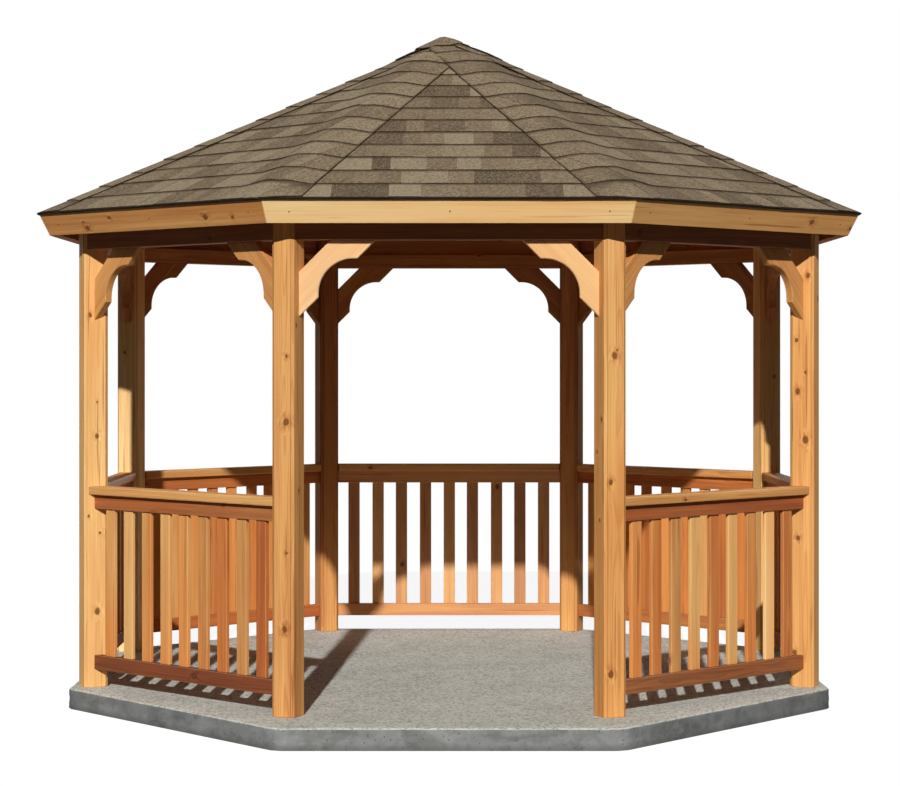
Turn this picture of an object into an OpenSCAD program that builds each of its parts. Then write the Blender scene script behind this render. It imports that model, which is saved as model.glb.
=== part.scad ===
// Garden gazebo: eight cedar posts on a concrete pad, railed bays, knee braces and a pyramid roof.
// The open entrance bay faces -Y. The origin is on the ground, under the centre of the ring of posts.

/* [Plan] */
// Distance from the centre to the middle of each post
post_ring = 1750; // [1500:10:2100]

/* [Concrete pad] */
// Thickness of the pad, from the ground to the floor
pad_thick = 90; // [60:5:150]
// Pad outside the post line, in front of the entrance
pad_front = 360; // [260:5:420]
// Front edge of the pad past the middles of the front posts
pad_front_beyond = 35; // [0:5:100]
// Pad outside the post line, at the left and right bays
pad_side = 100; // [90:5:160]
// Side edges of the pad forward of the middles of the side posts
pad_side_beyond = 100; // [80:5:160]
// Pad outside the post line, at the three back bays
pad_back = 90; // [80:5:150]
// Length cut off each edge at the pad's corners
pad_corner_cut = 26; // [10:2:60]

/* [Posts] */
// Post size around the ring
post_wide = 104; // [90:1:120]
// Post size from the centre outward
post_deep = 114; // [100:1:130]
// Chamfer on the four long edges of a post
post_edge = 14; // [4:1:16]

/* [Headers and braces] */
// Floor to the underside of the headers
header_bottom = 1980; // [1850:5:2300]
// Height of a header board
header_tall = 150; // [120:1:190]
// Thickness of a header board
header_thick = 38; // [30:1:42]
// Height of the ledger board inside each header
ledger_tall = 72; // [50:1:90]
// Thickness of a ledger board
ledger_thick = 36; // [25:1:38]
// Length of a brace along the header and down the post
brace_leg = 320; // [300:1:360]
// Width of the board that a brace is cut from
brace_board = 132; // [120:1:150]
// Thickness of a brace
brace_thick = 38; // [30:1:45]
// Size of the pointed toe of a brace at the post
brace_toe = 82; // [70:1:90]
// Size of the pointed toe of a brace under the header
brace_rise = 76; // [66:1:90]
// Radius of the round scallop under a brace
brace_scallop = 146; // [100:1:160]

/* [Rails] */
// Floor to the top of the handrail
rail_height = 910; // [800:5:1100]
// Floor to the underside of the bottom rail
rail_clearance = 82; // [50:1:150]
// Height of the top and bottom rails
rail_tall = 64; // [50:1:90]
// Thickness of the top and bottom rails
rail_thick = 38; // [25:1:45]
// Rails and braces stand this far inside the middle of the posts
rail_inset = 10; // [0:1:18]
// Width of the flat handrail cap
cap_wide = 89; // [60:1:95]
// Thickness of the handrail cap
cap_thick = 38; // [25:1:45]
// Number of balusters in each railed bay
baluster_count = 9; // [6:1:11]
// Width of a baluster
baluster_wide = 62; // [40:1:70]
// Thickness of a baluster
baluster_thick = 18; // [12:1:25]

/* [Roof] */
// Slope of the roof in degrees
roof_pitch = 25.5; // [20:0.5:32]
// Eave edge outside the post line
eave_out = 231; // [180:1:280]
// Thickness of the roof boards with their shingles
roof_thick = 20; // [15:1:30]
// Overhang of the roof boards past the fascia
drip = 10; // [4:1:20]
// Width of a fascia board, measured square to the slope
fascia_wide = 106; // [104:1:130]
// Thickness of a fascia board
fascia_thick = 25; // [18:1:40]
// Thickness of the rafters
rafter_thick = 38; // [30:1:40]
// Depth of the rafters over the middle of each bay
rafter_deep = 89; // [80:1:95]
// Depth of the rafters under the hips
hip_deep = 100; // [96:1:104]
// Notch that seats a rafter on its header
rafter_seat = 10.6; // [8:0.2:14]
// Centre of the roof to the flat faces of the hub
hub_reach = 105; // [102:1:130]
// Hub below the rafter ends
hub_drop = 40; // [10:1:80]
// Centre of the roof to the edge of the apex cap
cap_reach = 150; // [100:5:250]
// Thickness of the apex cap
apex_thick = 8; // [4:1:12]

/* [Hidden] */
// Arcs and circles are drawn smooth
$fn = 64;
// Half of the angle between two sides of the octagon
half_turn = 22.5;
tan_half = tan(half_turn);
tan_pitch = tan(roof_pitch);
cos_pitch = cos(roof_pitch);
sin_pitch = sin(roof_pitch);

// Names of the eight bays and posts, anticlockwise seen from above, from the entrance
bays = ["front", "front_right", "right", "back_right", "back", "back_left", "left", "front_left"];
corners = ["front_right", "right_front", "right_back", "back_right",
           "back_left", "left_back", "left_front", "front_left"];
all_bays = [0 : 7];
railed_bays = [1 : 7];

// Distances from the centre, square to a bay
post_line = post_ring * cos(half_turn);
post_middle = post_line + post_wide / 2 * sin(half_turn);
header_out = post_middle + (post_deep / 2 - post_edge) * cos(half_turn);
header_in = header_out - header_thick;
rail_line = post_middle - rail_inset;
eave = post_line + eave_out;

// Heights above the ground
header_low = pad_thick + header_bottom;
header_top = header_low + header_tall;
rail_top = pad_thick + rail_height;
sub_rail_top = rail_top - cap_thick;
sub_rail_low = sub_rail_top - rail_tall;
bottom_rail_low = pad_thick + rail_clearance;
bottom_rail_top = bottom_rail_low + rail_tall;
eave_z = header_top + rafter_deep / cos_pitch - rafter_seat - tan_pitch * (eave - header_out);

// The pad's edges: front, side and back, from the centre
pad_front_line = post_line + pad_front;
pad_side_line = post_line + pad_side;
pad_back_line = post_line + pad_back;

// Sloping under the roof boards: outward down the slope, and square to it
down_slope = [cos_pitch, -sin_pitch];
off_slope = [sin_pitch, cos_pitch];
eave_point = [eave, eave_z];
far = 2 * eave;

// Height of the underside of the roof boards at a distance from the centre, square to a bay
function boards_z(y) = eave_z + tan_pitch * (eave - y);

// Half of the clear length between two posts at a distance from the centre
function half_span(y) = y * tan_half - post_wide / 2 / cos(half_turn);

function unit(v) = v / norm(v);

// An outline with each corner cut off at the same length along both of its edges
function cut_corners(points, cut) = [
    for (i = [0 : len(points) - 1])
        let (here = points[i], next = points[(i + 1) % len(points)], last = points[(i + len(points) - 1) % len(points)])
            each [here + cut * unit(last - here), here + cut * unit(next - here)]
];

// Corners of the right half of the pad, from the front edge round to the back edge
pad_half = [
    [post_ring * sin(half_turn) + pad_front_beyond, -pad_front_line],
    [pad_side_line, -post_ring * sin(half_turn) - pad_side_beyond],
    [pad_side_line, pad_back_line * sqrt(2) - pad_side_line],
    [pad_back_line * tan_half, pad_back_line]
];
pad_outline = concat(pad_half, [for (k = [3 : -1 : 0]) [-pad_half[k][0], pad_half[k][1]]]);

// Turns a bay so that its +Y faces outward
module at_bay(i) rotate(180 + 45 * i) children();

// Turns a corner so that its +Y faces outward
module at_corner(i) rotate(180 + half_turn + 45 * i) children();

// Extrudes a profile, drawn as distance from the centre and height, along X
module along_x(length) rotate([90, 0, 90]) linear_extrude(length, center = true) children();

// A board between two posts with its ends cut to lie on the sides of the posts
module bay_board(y_in, y_out, z_low, z_top)
    translate([0, 0, z_low])
        linear_extrude(z_top - z_low)
            polygon([
                [-half_span(y_in), y_in], [half_span(y_in), y_in],
                [half_span(y_out), y_out], [-half_span(y_out), y_out]
            ]);

// The eighth of the plan that belongs to one bay
module sector()
    linear_extrude(boards_z(-far))
        polygon([[0, 0], [far * tan_half, far], [-far * tan_half, far]]);

// Everything under one slope of the roof, out to the back of its fascia
module under_slope() {
    top = eave_point - fascia_thick * down_slope;
    low = top - 3 * fascia_wide * off_slope;
    along_x(far) polygon([[-far / 4, 0], [-far / 4, boards_z(-far / 4)], top, low, [low[0], 0]]);
}

// The whole pyramid under a surface lifted square to the slopes
module under_roof(lift)
    intersection_for (i = all_bays)
        at_bay(i)
            along_x(far)
                polygon([
                    [-far / 4, 0], [-far / 4, boards_z(-far / 4) + lift / cos_pitch],
                    [eave, eave_z + lift / cos_pitch], [eave, 0]
                ]);

module concrete_pad()
    color("#9d9e99")
        linear_extrude(pad_thick)
            polygon(cut_corners(pad_outline, pad_corner_cut));

module post(i)
    color("#dba566")
        at_corner(i)
            translate([0, post_ring, pad_thick])
                linear_extrude(header_top - pad_thick)
                    polygon(cut_corners(
                        [
                            [-post_wide / 2, -post_deep / 2], [post_wide / 2, -post_deep / 2],
                            [post_wide / 2, post_deep / 2], [-post_wide / 2, post_deep / 2]
                        ],
                        post_edge));

module header(i)
    color("#8f5d3b")
        at_bay(i)
            bay_board(header_in, header_out, header_low, header_top);

module ledgers()
    color("#8a5534")
        for (i = all_bays)
            at_bay(i)
                bay_board(header_in - ledger_thick, header_in, header_low, header_low + ledger_tall);

// Outline of a brace with its corner at the origin, along +X under the header and down the post
module brace_outline() {
    back = brace_leg - brace_board * sqrt(2);
    scallop = min(brace_scallop, brace_leg - brace_toe - brace_rise);
    middle = brace_toe + scallop;
    drop = brace_rise + scallop;
    spare = 60;
    difference() {
        polygon([
            [-spare, -back - spare], [back, 0], [brace_leg, 0],
            [brace_leg - brace_rise, -brace_rise], [middle, -brace_rise], [middle, -drop],
            [brace_toe, -drop], [brace_toe, brace_toe - brace_leg], [-spare, -brace_leg - spare]
        ]);
        translate([middle, -drop]) circle(r = scallop);
    }
}

// A pair of braces in one bay, cut off at the sides of the posts
module brace_pair() {
    y_in = rail_line - brace_thick / 2;
    y_out = rail_line + brace_thick / 2;
    intersection() {
        bay_board(y_in, y_out, header_low - 2 * brace_leg, header_low);
        for (side = [0, 1])
            mirror([side, 0, 0])
                translate([-half_span(y_out), y_out, header_low])
                    rotate([90, 0, 0])
                        linear_extrude(brace_thick)
                            brace_outline();
    }
}

module knee_braces()
    color("#e0b274")
        for (i = all_bays)
            at_bay(i)
                brace_pair();

// A railing: top rail, bottom rail and evenly spaced balusters, glued up as one panel
module rail(i) {
    y_in = rail_line - rail_thick / 2;
    y_out = rail_line + rail_thick / 2;
    clear = 2 * half_span(rail_line);
    gap = (clear - baluster_count * baluster_wide) / (baluster_count + 1);
    color("#b9733f")
        at_bay(i)
            union() {
                bay_board(y_in, y_out, sub_rail_low, sub_rail_top);
                bay_board(y_in, y_out, bottom_rail_low, bottom_rail_top);
                for (k = [0 : baluster_count - 1])
                    translate([
                        -clear / 2 + gap + k * (gap + baluster_wide),
                        rail_line - baluster_thick / 2,
                        bottom_rail_top
                    ])
                        cube([baluster_wide, baluster_thick, sub_rail_low - bottom_rail_top]);
            }
}

module rail_caps()
    color("#c58c4e")
        for (i = railed_bays)
            at_bay(i)
                bay_board(rail_line - cap_wide / 2, rail_line + cap_wide / 2, sub_rail_top, rail_top);

// A rafter over the middle of a bay, notched on its header
module bay_rafter(i)
    at_bay(i)
        difference() {
            intersection() {
                along_x(rafter_thick)
                    polygon([
                        [hub_reach, boards_z(hub_reach) - rafter_deep / cos_pitch],
                        [eave, eave_z - rafter_deep / cos_pitch],
                        [eave, boards_z(0)], [hub_reach, boards_z(0)]
                    ]);
                under_slope();
            }
            along_x(2 * rafter_thick)
                polygon([[header_in, 0], [header_out, 0], [header_out, header_top], [header_in, header_top]]);
        }

// A rafter under a hip, notched on its post and bevelled to both slopes
module hip_rafter(i) {
    hip_eave = eave / cos(half_turn);
    hip_pitch = atan(tan_pitch * cos(half_turn));
    drop = hip_deep / cos(hip_pitch);
    difference() {
        intersection() {
            at_corner(i)
                along_x(rafter_thick)
                    polygon([
                        [hub_reach, boards_z(hub_reach * cos(half_turn)) - drop],
                        [hip_eave, eave_z - drop],
                        [hip_eave, boards_z(0)], [hub_reach, boards_z(0)]
                    ]);
            at_bay(i) under_slope();
            at_bay(i + 1) under_slope();
        }
        at_corner(i)
            translate([-post_wide / 2, post_ring - post_deep / 2, 0])
                cube([post_wide, post_deep, header_top]);
    }
}

module rafters()
    color("#a9744a")
        for (i = all_bays) {
            bay_rafter(i);
            hip_rafter(i);
        }

// The block that the upper ends of all the rafters meet
module roof_hub() {
    low = boards_z(hub_reach) - rafter_deep / cos_pitch - hub_drop;
    corner_reach = hub_reach / cos(half_turn / 2);
    color("#a9744a")
        intersection() {
            translate([0, 0, low])
                linear_extrude(far)
                    polygon([
                        for (k = [0 : 15])
                            corner_reach * [cos(half_turn * (k + 0.5)), sin(half_turn * (k + 0.5))]
                    ]);
            under_roof(0);
        }
}

module fascia(i)
    color("#dcb47c")
        at_bay(i)
            intersection() {
                along_x(far)
                    polygon([
                        eave_point,
                        eave_point - fascia_thick * down_slope,
                        eave_point - fascia_thick * down_slope - fascia_wide * off_slope,
                        eave_point - fascia_wide * off_slope
                    ]);
                sector();
            }

module roof(i)
    color("#7f6d5b")
        at_bay(i)
            intersection() {
                along_x(far)
                    polygon([
                        [0, boards_z(0)],
                        eave_point + drip * down_slope,
                        eave_point + drip * down_slope + roof_thick * off_slope,
                        [0, boards_z(0) + roof_thick / cos_pitch]
                    ]);
                sector();
            }

module apex_cap()
    color("#6f5f4f")
        difference() {
            intersection() {
                under_roof(roof_thick + apex_thick);
                rotate(half_turn)
                    cylinder(h = 2 * far, r = cap_reach / cos(half_turn), $fn = 8);
            }
            under_roof(roof_thick);
        }

concrete_pad();
for (i = all_bays) {
    post(i);
    header(i);
    fascia(i);
    roof(i);
}
ledgers();
knee_braces();
for (i = railed_bays) {
    rail(i);
}
rail_caps();
rafters();
roof_hub();
apex_cap();
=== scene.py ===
import math

import bpy
import numpy as np
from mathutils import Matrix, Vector


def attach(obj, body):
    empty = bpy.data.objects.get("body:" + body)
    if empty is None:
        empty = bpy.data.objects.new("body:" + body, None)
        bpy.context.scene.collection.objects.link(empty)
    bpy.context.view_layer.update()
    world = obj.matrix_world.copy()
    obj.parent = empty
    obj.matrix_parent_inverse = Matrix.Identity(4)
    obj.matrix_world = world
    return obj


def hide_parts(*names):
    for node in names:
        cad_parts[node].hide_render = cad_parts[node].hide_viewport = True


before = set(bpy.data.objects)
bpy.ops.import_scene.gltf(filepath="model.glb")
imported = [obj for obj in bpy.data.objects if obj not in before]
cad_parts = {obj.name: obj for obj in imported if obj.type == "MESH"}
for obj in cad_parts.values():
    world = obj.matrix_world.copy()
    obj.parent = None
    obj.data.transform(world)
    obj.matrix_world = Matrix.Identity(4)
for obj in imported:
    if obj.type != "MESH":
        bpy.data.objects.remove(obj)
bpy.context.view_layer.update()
scene = bpy.context.scene
print("frame loaded:", len(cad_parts), "nodes")

# Sizes in metres, the same as in the solids; hair is the room left between boards that touch
plan = {
    "postRing": 1.750, "postWide": 0.104, "postDeep": 0.114, "postEdge": 0.014,
    "padThick": 0.090, "padFront": 0.360, "padFrontBeyond": 0.035, "padSide": 0.100, "padSideBeyond": 0.100,
    "padBack": 0.090, "padCut": 0.026,
    "headerBottom": 1.980, "headerTall": 0.150, "headerThick": 0.038, "ledgerTall": 0.072,
    "ledgerThick": 0.036,
    "railHeight": 0.910, "railClear": 0.082, "railTall": 0.064, "railThick": 0.038, "railInset": 0.010,
    "capWide": 0.089, "capThick": 0.038, "balusters": 9, "balusterWide": 0.062, "balusterThick": 0.018,
    "pitch": math.radians(25.5), "eaveOut": 0.231, "drip": 0.010, "fasciaWide": 0.106, "fasciaThick": 0.025,
    "rafterThick": 0.038, "rafterDeep": 0.089, "hipDeep": 0.100, "rafterSeat": 0.0106, "hubReach": 0.105,
    "hubDrop": 0.040, "hair": 0.0002,
}
bays = ["front", "front_right", "right", "back_right", "back", "back_left", "left", "front_left"]
corners = ["front_right", "right_front", "right_back", "back_right",
           "back_left", "left_back", "left_front", "front_left"]
up = np.array([0.0, 0.0, 1.0])
halfTurn = math.radians(22.5)
tanHalf = math.tan(halfTurn)
cosPitch, sinPitch = math.cos(plan["pitch"]), math.sin(plan["pitch"])
tanPitch = sinPitch / cosPitch

# Distances from the centre square to a bay, and heights above the ground
postLine = plan["postRing"] * math.cos(halfTurn)
postMiddle = postLine + plan["postWide"] / 2 * math.sin(halfTurn)
headerOut = postMiddle + (plan["postDeep"] / 2 - plan["postEdge"]) * math.cos(halfTurn)
headerIn = headerOut - plan["headerThick"]
railLine = postMiddle - plan["railInset"]
eave = postLine + plan["eaveOut"]
floorZ = plan["padThick"]
headerLow = floorZ + plan["headerBottom"]
headerTop = headerLow + plan["headerTall"]
railTop = floorZ + plan["railHeight"]
subRailTop = railTop - plan["capThick"]
subRailLow = subRailTop - plan["railTall"]
bottomRailLow = floorZ + plan["railClear"]
bottomRailTop = bottomRailLow + plan["railTall"]
eaveZ = headerTop + plan["rafterDeep"] / cosPitch - plan["rafterSeat"] - tanPitch * (eave - headerOut)
boardsApex = eaveZ + tanPitch * eave


# Outward and anticlockwise unit vectors at an angle round the centre
def facing(degrees):
    a = math.radians(degrees)
    return np.array([math.cos(a), math.sin(a), 0.0]), np.array([-math.sin(a), math.cos(a), 0.0])


bayOut, bayAlong = zip(*[facing(270 + 45 * i) for i in range(8)])
cornerOut = [facing(292.5 + 45 * i)[0] for i in range(8)]


# Half of the clear length between two posts, at a distance from the centre
def halfSpan(r):
    return r * tanHalf - plan["postWide"] / 2 / math.cos(halfTurn)


# Smooth step from 0 at low to 1 at high
def ease01(x, low, high):
    y = np.clip((x - low) / (high - low), 0, 1)
    return y * y * (3 - 2 * y)


# A colour as read off a screen, 0 to 255, as linear light
def paint(red, green, blue):
    c = np.array([red, green, blue]) / 255
    linear = np.where(c <= 0.04045, c / 12.92, ((c + 0.055) / 1.055) ** 2.4)
    return tuple(float(x) for x in linear) + (1.0,)


# Sum of fourteen plane waves of random direction and phase, about -1 to 1, with waves 1 / fineness long
def ripple(points, fineness, seed):
    dice = np.random.default_rng(seed)
    ways = dice.normal(size=(14, 3))
    ways *= (2 * math.pi * fineness * dice.uniform(0.5, 1.7, 14) / np.linalg.norm(ways, axis=1))[:, None]
    return np.sin(points @ ways.T + dice.uniform(0, 2 * math.pi, 14)).sum(-1) / 5


# A value on its way through a shader: + - * and / add Math nodes
class Wire:
    def __init__(self, shader, socket):
        self.shader = shader
        self.socket = socket

    # Another output of the node that this wire leaves
    def also(self, name):
        return Wire(self.shader, self.socket.node.outputs[name])

    def math(self, operation, *values):
        return self.shader.node("Math", {"operation": operation}, dict(enumerate(values)))

    def __add__(self, other):
        return self.math("ADD", self, other)

    def __radd__(self, other):
        return self.math("ADD", other, self)

    def __sub__(self, other):
        return self.math("SUBTRACT", self, other)

    def __rsub__(self, other):
        return self.math("SUBTRACT", other, self)

    def __mul__(self, other):
        return self.math("MULTIPLY", self, other)

    def __rmul__(self, other):
        return self.math("MULTIPLY", other, self)

    def __truediv__(self, other):
        return self.math("DIVIDE", self, other)

    def __rtruediv__(self, other):
        return self.math("DIVIDE", other, self)


# The nodes of a new material, or of a world that is handed in
class Shader:
    def __init__(self, name, world=None):
        self.owner = world or bpy.data.materials.new(name)
        self.owner.use_nodes = True
        self.tree = self.owner.node_tree
        self.tree.nodes.clear()

    # Any node: its type, its settings, the values or wires of its sockets, and the output wanted
    def node(self, kind, settings=None, sockets=None, out=0):
        made = self.tree.nodes.new("ShaderNode" + kind)
        for key, value in (settings or {}).items():
            if key == "stops":
                while len(made.color_ramp.elements) < len(value):
                    made.color_ramp.elements.new(0.5)
                for stop, (place, colour) in zip(made.color_ramp.elements, value):
                    stop.position = place
                    stop.color = paint(*colour)
            else:
                setattr(made, key, value)
        for key, value in (sockets or {}).items():
            if isinstance(value, Wire):
                self.tree.links.new(value.socket, made.inputs[key])
            else:
                made.inputs[key].default_value = value
        return Wire(self, made.outputs[out]) if made.outputs else None

    def attribute(self, name, out="Fac"):
        return self.node("Attribute", {"attribute_name": name}, out=out)

    def objectPlace(self):
        return self.node("TexCoord", out="Object")

    def channel(self, value, number, kind="XYZ"):
        return self.node("Separate" + kind, {}, {0: value}, out=number)

    def stretched(self, vector, scale):
        return self.node("VectorMath", {"operation": "MULTIPLY"}, {0: vector, 1: scale})

    def length(self, vector):
        return self.node("VectorMath", {"operation": "LENGTH"}, {0: vector}, out=1)

    def noise(self, vector, scale, detail=2.0, rough=0.5, distort=0.0):
        sockets = {"Vector": vector, "Scale": scale, "Detail": detail}
        sockets.update({"Roughness": rough, "Distortion": distort})
        return self.node("TexNoise", {}, sockets)

    def smooth(self, value, low, high):
        sockets = {0: value, 1: low, 2: high, 3: 0.0, 4: 1.0}
        return self.node("MapRange", {"interpolation_type": "SMOOTHSTEP"}, sockets)

    # Colours are wires, four linear values, or three values as read off a screen
    def mix(self, factor, first, second, blend="MIX"):
        pair = [paint(*c) if isinstance(c, tuple) and len(c) == 3 else c for c in (first, second)]
        settings = {"data_type": "RGBA", "blend_type": blend}
        return self.node("Mix", settings, {0: factor, 6: pair[0], 7: pair[1]}, out=2)

    def ramp(self, value, stops):
        return self.node("ValToRGB", {"stops": stops}, {0: value})

    # The material's surface, with a bump of this strength whose height of 1 is one step high
    def finish(self, sockets, height, bump, step):
        links = {"Height": height, "Strength": bump, "Distance": step}
        sockets["Normal"] = self.node("Bump", {}, links)
        self.node("OutputMaterial", {}, {"Surface": self.node("BsdfPrincipled", {}, sockets)})
        return self.owner


# The waves are counted to a metre, along and across the board
cedarLook = {
    "stops": [(0.00, (92, 46, 24)), (0.20, (140, 80, 42)), (0.40, (186, 117, 60)), (0.60, (222, 160, 90)),
              (0.78, (240, 187, 116)), (1.00, (255, 220, 156))],
    "waves": {"wobble": (55.0, 90.0), "sway": (1.1, 9.0), "streak": (0.9, 26.0), "fibre": (9.0, 420.0),
              "cloud": (1.6, 5.0), "fine": (2.4, 105.0), "swirl": (22.0, 60.0), "red": (0.35, 2.0),
              "resin": (1.7, 60.0), "worn": (14.0, 40.0)},
    "knotNames": ["knot" + letter for letter in "ABCDEF"], "knotCell": (0.46, 0.17), "knotShare": 0.30,
    "knotLeast": 0.0045, "knotMore": 0.0075, "knotColour": (112, 64, 32), "knotRing": (66, 34, 16),
    "ringGap": 0.0042, "ringSway": 0.030, "ringBend": 0.004, "resin": (150, 78, 36), "worn": (244, 214, 160),
    "crease": (78, 44, 24), "wash": (240, 206, 174), "haze": 0.045, "endTint": (0.72, 0.6768, 0.648, 1.0),
}


# Cedar: growth rings about a pith line, long streaks, fine fibres, and knots that bend the grain.
# grainAt is the place in the board, length first; the UV map is the board's skin unrolled, in metres.
# Shift moves the tone, wash pales boards whose tone lies past washed, blush tints where redness passes red.
def cedar(name, shift=0.0, wash=0.0, washed=(0.62, 0.84), red=0.50, blush=(1.0, 0.89, 0.80, 1.0)):
    shader = Shader(name)
    look = cedarLook
    grainAt = shader.attribute("grainAt", "Vector")
    skin = shader.node("UVMap", {"uv_map": "skin"})
    endGrain = shader.attribute("endGrain")

    def waves(label, detail=2.0, rough=0.5):
        lengthways, across = look["waves"][label]
        return shader.noise(shader.stretched(grainAt, (lengthways, across, across)), 1.0, detail, rough)

    # Knots: random ones from cells on the unrolled skin, and up to six placed ones on each board
    wobble = 0.55 + 0.9 * waves("wobble", 3.0, 0.6)

    def apart(first, second, scale):
        offset = shader.node("VectorMath", {"operation": "SUBTRACT"}, {0: first, 1: second})
        return shader.length(shader.stretched(offset, scale)) * wobble

    cell, rest = look["knotCell"], 1 - look["knotShare"]
    inCells = shader.stretched(skin, (1 / cell[0], 1 / cell[1], 1.0))
    settings = {"voronoi_dimensions": "2D", "feature": "F1"}
    seed = shader.node("TexVoronoi", settings, {"Vector": inCells, "Scale": 1.0, "Randomness": 0.9})
    chance = shader.channel(seed.also("Color"), 0, "Color")
    girth = shader.channel(seed.also("Color"), 1, "Color")
    size = (look["knotLeast"] + look["knotMore"] * girth) * shader.smooth(chance, rest, rest + 0.02)
    near = apart(seed.also("Position"), inCells, (cell[0] * 0.72, cell[1], 0.0)) / (size + 0.0001)
    for label in look["knotNames"]:
        placed = shader.attribute(label, "Vector")
        reach = apart(skin, placed, (0.78, 1.0, 0.0)) / (shader.channel(placed, 2) + 0.0001)
        near = near.math("MINIMUM", near, reach)
    knot = shader.smooth(near, 1.25, 0.60) * (1 - endGrain)
    halo = shader.smooth(near, 3.6, 0.8) * (1 - endGrain)

    # Growth rings: the distance from the pith, swayed slowly along the board
    fromPith = shader.length(shader.stretched(grainAt, (0.0, 1.0, 1.0)))
    rings = (fromPith + look["ringSway"] * waves("sway") + look["ringBend"] * halo) / look["ringGap"]
    inRing = rings.math("FRACT", rings)
    lateWood = shader.smooth(inRing, 0.45, 0.92) * shader.smooth(inRing, 1.0, 0.93)

    streak = waves("streak", 3.0, 0.55)
    fibre = waves("fibre", 2.0, 0.6)
    figure = shader.smooth(near, 3.6, 1.7) * shader.smooth(near, 0.9, 1.3)
    figure = figure * shader.smooth(waves("swirl"), 0.47, 0.60)
    tone = shader.attribute("tone") + shift + 0.40 * (streak - 0.5) + 0.18 * (waves("cloud") - 0.5)
    tone = tone + 0.12 * (fibre - 0.5) + 0.22 * (waves("fine", 2.0, 0.55) - 0.5)
    tone = tone - 0.085 * lateWood * (0.5 + streak) - 0.14 * halo + 0.15 * figure * (1 - endGrain)
    colour = shader.ramp(tone, look["stops"])
    reddened = shader.mix(1.0, colour, blush, "MULTIPLY")
    colour = shader.mix(shader.smooth(waves("red"), red, red + 0.14), colour, reddened)
    pale = look["haze"] + wash * shader.smooth(shader.attribute("tone"), *washed)
    colour = shader.mix(pale, colour, look["wash"])

    # Resin streaks, knots with a dark rim, paler worn edges, a painted shadow line at the posts' chamfer
    # shoulders, and darker end grain
    colour = shader.mix(0.55 * shader.smooth(waves("resin", 1.0), 0.66, 0.76), colour, look["resin"])
    knotColour = shader.mix(shader.smooth(near, 0.86, 0.35), look["knotRing"], look["knotColour"])
    colour = shader.mix(0.80 * knot, colour, knotColour)
    colour = shader.mix(0.45 * shader.attribute("edge") * waves("worn"), colour, look["worn"])
    # Painted shade: a thin dark line at the foot of the posts' chamfer shoulders
    colour = shader.mix(0.75 * shader.attribute("crease") * (0.4 + streak), colour, look["crease"])
    colour = shader.mix(endGrain, colour, shader.mix(1.0, colour, look["endTint"], "MULTIPLY"))

    rough = 0.62 + 0.16 * (fibre - 0.5) - 0.14 * knot + 0.1 * endGrain
    height = 0.5 * fibre - 0.5 * lateWood + 0.4 * knot + 0.2 * streak
    sockets = {"Base Color": colour, "Roughness": rough, "Specular IOR Level": 0.06}
    return shader.finish(sockets, height, 0.35, 0.0009)


shingleLook = {
    "stops": [(0.00, (78, 64, 50)), (0.30, (103, 86, 67)), (0.55, (123, 105, 83)), (0.80, (143, 125, 100)),
              (1.00, (162, 146, 120))],
    "cut": (46, 32, 18), "pale": (186, 170, 140), "dark": (60, 49, 39), "band": (54, 39, 23),
}


# Asphalt shingle: mineral granules of three tones over a tab tone, cut edges nearly black, a printed dark
# band under each butt and painted shade along the wraps' cut ends
def shingle(name):
    shader = Shader(name)
    look = shingleLook
    at = shader.objectPlace()
    cloud = shader.noise(at, 14.0, 3.0, 0.6)
    grit = shader.noise(at, 260.0, 2.0, 0.7)
    fleck = shader.noise(at, 70.0, 3.0, 0.65)
    tone = shader.attribute("tone") + 0.30 * (cloud - 0.5) + 0.60 * (grit - 0.5) + 1.60 * (fleck - 0.5)
    colour = shader.ramp(tone, look["stops"])
    grain = shader.node("TexVoronoi", {}, {"Vector": at, "Scale": 330.0})
    grainTone = shader.channel(grain.also("Color"), 0, "Color")
    colour = shader.mix(0.45 * shader.smooth(grainTone, 0.80, 0.84), colour, look["pale"])
    colour = shader.mix(0.50 * shader.smooth(grainTone, 0.20, 0.16), colour, look["dark"])
    # The printed band under each butt, and painted shade along the wraps' cut ends
    colour = shader.mix(0.72 * shader.attribute("band"), colour, look["band"])
    colour = shader.mix(0.92 * shader.attribute("cutEdge"), colour, look["cut"])
    rough = 0.86 + 0.10 * (grit - 0.5)
    sockets = {"Base Color": colour, "Roughness": rough, "Specular IOR Level": 0.14}
    return shader.finish(sockets, grainTone + 0.8 * grit, 0.5, 0.0012)


concreteLook = {
    "top": (217, 219, 208), "topPale": (229, 231, 221), "topDark": (203, 204, 194), "side": (121, 121, 117),
    "sideCool": (140, 141, 139), "pit": (84, 84, 82), "stone": (232, 228, 216), "stoneDark": (120, 117, 108),
    "stain": (92, 94, 94), "sidePale": (158, 159, 157),
}


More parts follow.
